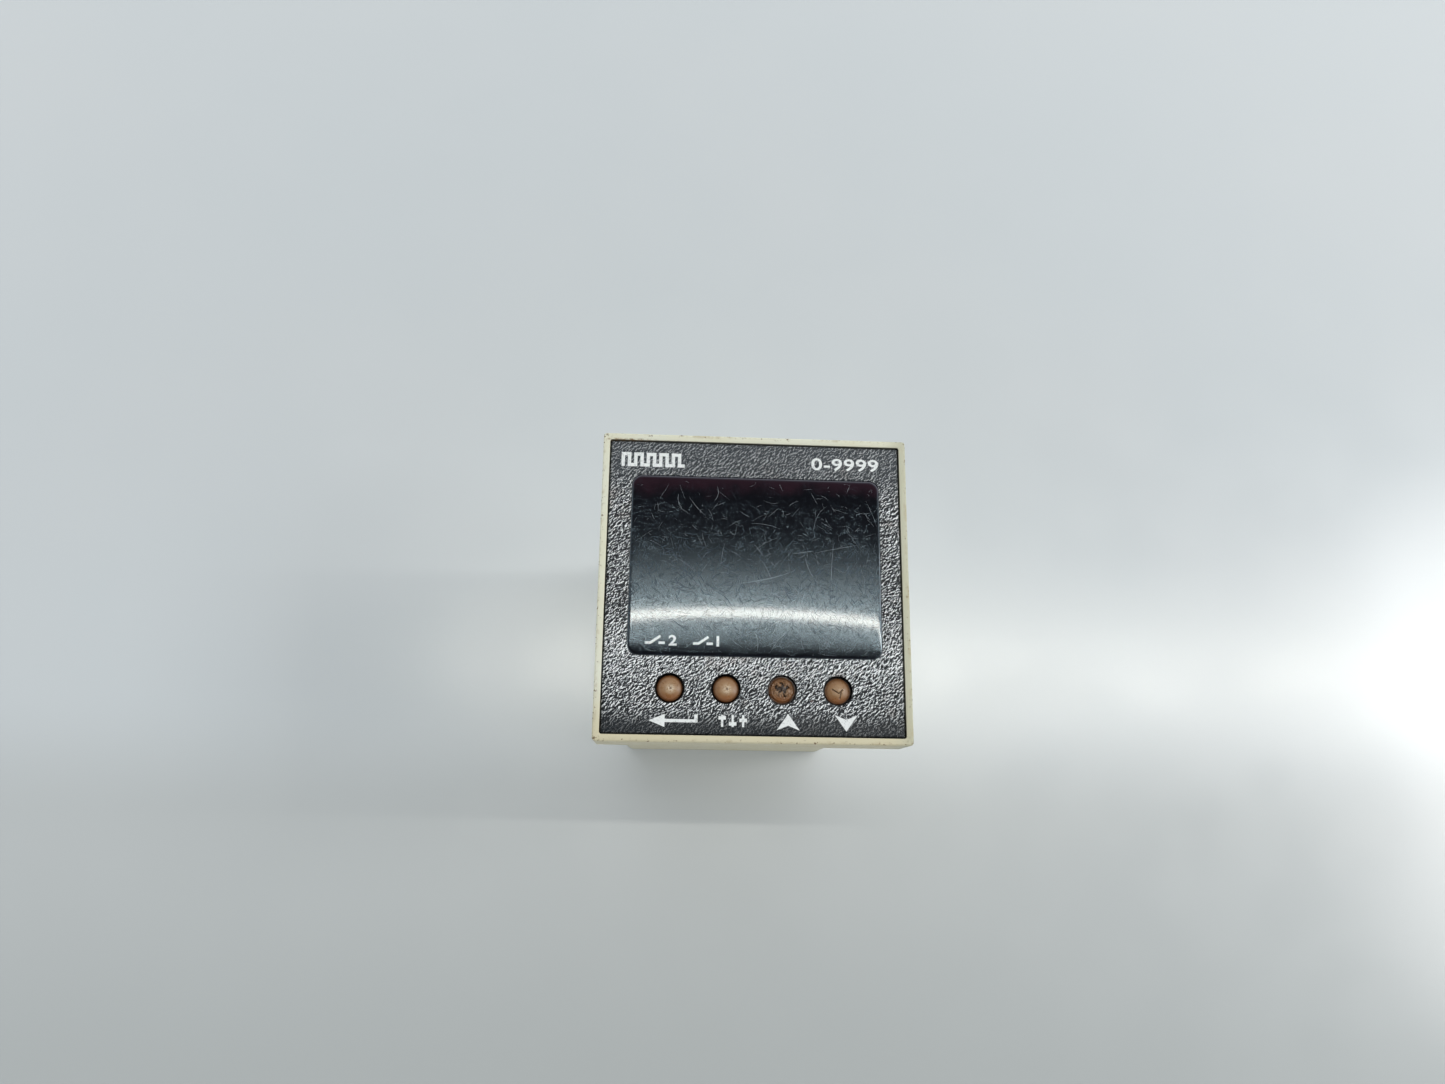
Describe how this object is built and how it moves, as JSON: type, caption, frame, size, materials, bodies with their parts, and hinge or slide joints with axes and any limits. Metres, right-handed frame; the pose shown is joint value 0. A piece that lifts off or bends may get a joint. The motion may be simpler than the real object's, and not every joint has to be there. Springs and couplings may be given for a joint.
{
  "type": "panel-mount frequency counter",
  "caption": "Square panel-mount frequency and speed meter: deep cream case, black front plate, smoked display window, a row of round push buttons and rear screw terminals.",
  "frame": {"origin": "centre of the case's rear rim, on the plane it stands on when it lies on its back", "axes": "+Z out of the display, +Y towards the display's top edge, +X towards the display's right side"},
  "size_m": [0.072, 0.072, 0.11],
  "materials": {
    "case_plastic": "aged cream ABS, satin, with dark specks",
    "plate_plastic": "charcoal black, coarse spark-eroded grain",
    "window_plastic": "smoked dark red acrylic, finely scratched",
    "button_plastic": "worn brown, satin",
    "switch_plastic": "black moulded",
    "stem_plastic": "natural nylon",
    "circuit_board": "green solder mask with tracks",
    "fastener_steel": "zinc plated",
    "chip_plastic": "black moulding compound with tinned legs",
    "figure_plastic": "dark face with unlit light pipes",
    "lamp_plastic": "tinted red, clear gloss",
    "connector_plastic": "black moulded",
    "connector_pins": "gold flashed",
    "core_steel": "varnished laminations",
    "bobbin_plastic": "natural nylon",
    "winding_tape": "yellow polyester tape over copper wire",
    "relay_plastic": "blue sealed case",
    "capacitor_sleeve": "dark blue shrink sleeve",
    "semiconductor": "black epoxy",
    "heat_sink_metal": "mill finish",
    "fuse_glass": "clear tube, nickel caps",
    "clip_metal": "tinned spring brass",
    "absorber_coating": "blue epoxy dip",
    "crystal_can": "drawn metal can",
    "isolator_plastic": "white moulding compound",
    "terminal_plastic": "black glass-filled",
    "terminal_metal": "nickel flashed brass"
  },
  "bodies": {
    "case": {"case_shell": "case_plastic", "front_plate": "plate_plastic", "display_window": "window_plastic", "enter_switch": "switch_plastic", "set_switch": "switch_plastic", "up_switch": "switch_plastic", "down_switch": "switch_plastic", "display_board": "circuit_board", "display_screws": "fastener_steel", "display_driver": "chip_plastic", "digit_1": "figure_plastic", "digit_2": "figure_plastic", "digit_3": "figure_plastic", "digit_4": "figure_plastic", "output_led_2": "lamp_plastic", "output_led_1": "lamp_plastic", "power_board": "circuit_board", "signal_board": "circuit_board", "lower_socket": "connector_plastic", "upper_socket": "connector_plastic", "lower_header": "connector_pins", "upper_header": "connector_pins", "transformer_core": "core_steel", "transformer_bobbin": "bobbin_plastic", "transformer_winding": "winding_tape", "relay_1": "relay_plastic", "relay_2": "relay_plastic", "filter_capacitor": "capacitor_sleeve", "bridge_rectifier": "semiconductor", "voltage_regulator": "semiconductor", "heat_sink": "heat_sink_metal", "fuse": "fuse_glass", "fuse_clips": "clip_metal", "surge_absorber": "absorber_coating", "microcontroller": "chip_plastic", "memory_chip": "chip_plastic", "crystal": "crystal_can", "input_isolators": "isolator_plastic", "rear_plate": "case_plastic", "rear_screws": "fastener_steel", "upper_terminal_block": "terminal_plastic", "lower_terminal_block": "terminal_plastic", "upper_terminal_plates": "terminal_metal", "lower_terminal_plates": "terminal_metal", "upper_terminal_screws": "fastener_steel", "lower_terminal_screws": "fastener_steel"},
    "enter_key": {"enter_button": "button_plastic", "enter_stem": "stem_plastic"},
    "set_key": {"set_button": "button_plastic", "set_stem": "stem_plastic"},
    "up_key": {"up_button": "button_plastic", "up_stem": "stem_plastic"},
    "down_key": {"down_button": "button_plastic", "down_stem": "stem_plastic"}
  },
  "joints": [
    {"name": "enter_press", "type": "slide", "parent": "case", "child": "enter_key", "axis": [0, 0, -1], "range_m": [0, 0.0005], "stiffness_N_per_m": 2000},
    {"name": "set_press", "type": "slide", "parent": "case", "child": "set_key", "axis": [0, 0, -1], "range_m": [0, 0.0005], "stiffness_N_per_m": 2000},
    {"name": "up_press", "type": "slide", "parent": "case", "child": "up_key", "axis": [0, 0, -1], "range_m": [0, 0.0005], "stiffness_N_per_m": 2000},
    {"name": "down_press", "type": "slide", "parent": "case", "child": "down_key", "axis": [0, 0, -1], "range_m": [0, 0.0005], "stiffness_N_per_m": 2000}
  ]
}
